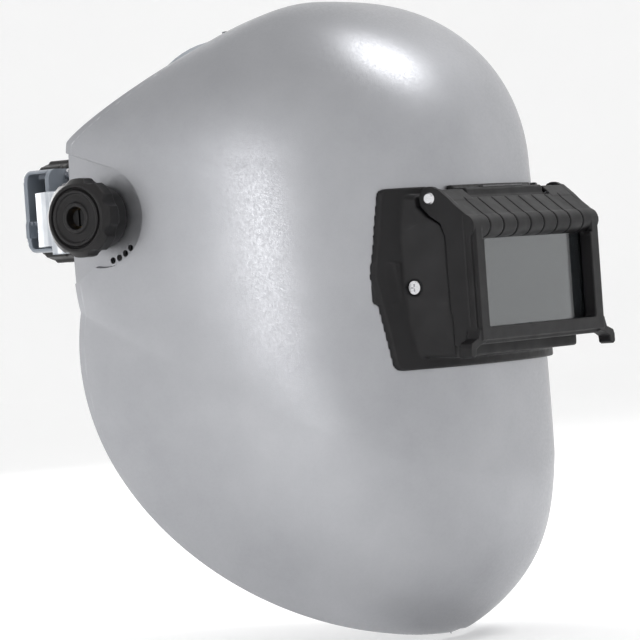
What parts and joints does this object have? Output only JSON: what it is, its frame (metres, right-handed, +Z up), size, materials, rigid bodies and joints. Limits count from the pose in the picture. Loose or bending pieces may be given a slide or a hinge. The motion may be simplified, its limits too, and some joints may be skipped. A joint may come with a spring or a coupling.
{
  "type": "welding helmet",
  "caption": "Silver full-face welding helmet with a black lift-front filter window, side tension knobs and a ratchet headband.",
  "frame": {"origin": "midpoint of the tilt axis that joins the two side knobs", "axes": "+X to the wearer's left along the tilt axis, -Y forward through the window, +Z up"},
  "size_m": [0.267, 0.2911, 0.3136],
  "materials": {
    "shell_paint": "satin silver paint over moulded fibre-reinforced plastic",
    "black_plastic": "matt black moulded nylon",
    "knob_plastic": "satin black moulded nylon",
    "headgear_plastic": "smooth blue-grey moulded plastic",
    "button_plastic": "dark grey moulded plastic",
    "bright_steel": "bright zinc plate",
    "dark_steel": "blackened spring steel",
    "brass": "turned brass",
    "black_rubber": "matt rubber",
    "filter_glass": "dark welding filter glass",
    "clear_plate": "clear cover plate",
    "sweatband_foam": "brushed grey cloth over foam"
  },
  "bodies": {
    "headgear": {"headband": "headgear_plastic", "sweatband": "sweatband_foam", "side_arm_right": "headgear_plastic", "side_arm_left": "headgear_plastic", "arm_rivets": "bright_steel", "pivot_stud_right": "black_plastic", "pivot_stud_left": "black_plastic", "crown_strap_right": "headgear_plastic", "crown_strap_left": "headgear_plastic", "forehead_strap": "headgear_plastic", "crown_strap_pins": "button_plastic", "strap_buttons": "button_plastic", "ratchet_case_inner": "headgear_plastic", "ratchet_case_outer": "headgear_plastic", "case_screws": "bright_steel", "rear_pad": "sweatband_foam", "pawl_spring": "dark_steel"},
    "shell": {"shell": "shell_paint", "lens_housing": "black_plastic", "housing_screws": "bright_steel", "housing_nuts": "bright_steel", "hinge_bushes": "black_plastic", "detent_spring": "dark_steel", "safety_plate": "clear_plate", "safety_gasket": "black_rubber", "plate_retainer": "dark_steel", "pivot_bush_right": "black_plastic", "pivot_bush_left": "black_plastic", "friction_washer_right": "black_rubber", "friction_washer_left": "black_rubber", "stop_plate_right": "black_plastic", "stop_plate_left": "black_plastic"},
    "lift_front": {"lift_frame": "black_plastic", "filter_plate": "filter_glass", "cover_lens": "clear_plate", "filter_gasket": "black_rubber", "filter_clip": "dark_steel", "hinge_pins": "bright_steel"},
    "right_clamp": {"pressure_washer_right": "black_plastic"},
    "right_knob": {"knob_right": "knob_plastic", "knob_insert_right": "brass"},
    "left_clamp": {"pressure_washer_left": "black_plastic"},
    "left_knob": {"knob_left": "knob_plastic", "knob_insert_left": "brass"},
    "dial": {"ratchet_dial": "knob_plastic", "dial_screw": "bright_steel", "pinion": "button_plastic"},
    "rack_right": {"rack_strap_right": "headgear_plastic"},
    "rack_left": {"rack_strap_left": "headgear_plastic"}
  },
  "joints": [
    {"name": "shell_tilt", "type": "hinge", "parent": "headgear", "child": "shell", "pos_m": [0, 0, 0], "axis": [-1, 0, 0], "range_deg": [0, 80]},
    {"name": "lift_front_hinge", "type": "hinge", "parent": "shell", "child": "lift_front", "pos_m": [0, -0.152, -0.003], "axis": [-1, 0, 0], "range_deg": [0, 85]},
    {"name": "right_clamp_slide", "type": "slide", "parent": "headgear", "child": "right_clamp", "axis": [-1, 0, 0], "range_m": [0, 0.0009375]},
    {"name": "right_knob_turn", "type": "hinge", "parent": "right_clamp", "child": "right_knob", "pos_m": [-0.113, 0, 0], "axis": [-1, 0, 0], "range_deg": [0, 270.5]},
    {"name": "left_clamp_slide", "type": "slide", "parent": "headgear", "child": "left_clamp", "axis": [1, 0, 0], "range_m": [0, 0.0009375]},
    {"name": "left_knob_turn", "type": "hinge", "parent": "left_clamp", "child": "left_knob", "pos_m": [0.113, 0, 0], "axis": [1, 0, 0], "range_deg": [0, 270.5]},
    {"name": "rack_left_slide", "type": "slide", "parent": "headgear", "child": "rack_left", "axis": [-1, 0, 0], "range_m": [-0.00628, 0.01256]},
    {"name": "rack_right_slide", "type": "slide", "parent": "headgear", "child": "rack_right", "axis": [1, 0, 0], "range_m": [-0.0063, 0.0126]},
    {"name": "dial_turn", "type": "hinge", "parent": "headgear", "child": "dial", "pos_m": [0, 0.1, 0.007], "axis": [0, -1, 0], "range_deg": [-60.2, 120.4]}
  ],
  "couplings": [
    {"joint": "right_knob_turn", "follows": "right_clamp_slide", "rad_per_m": 5026.5},
    {"joint": "left_knob_turn", "follows": "left_clamp_slide", "rad_per_m": 5026.5},
    {"joint": "dial_turn", "follows": "rack_left_slide", "rad_per_m": 166.67},
    {"joint": "rack_right_slide", "follows": "rack_left_slide", "ratio": 1}
  ]
}
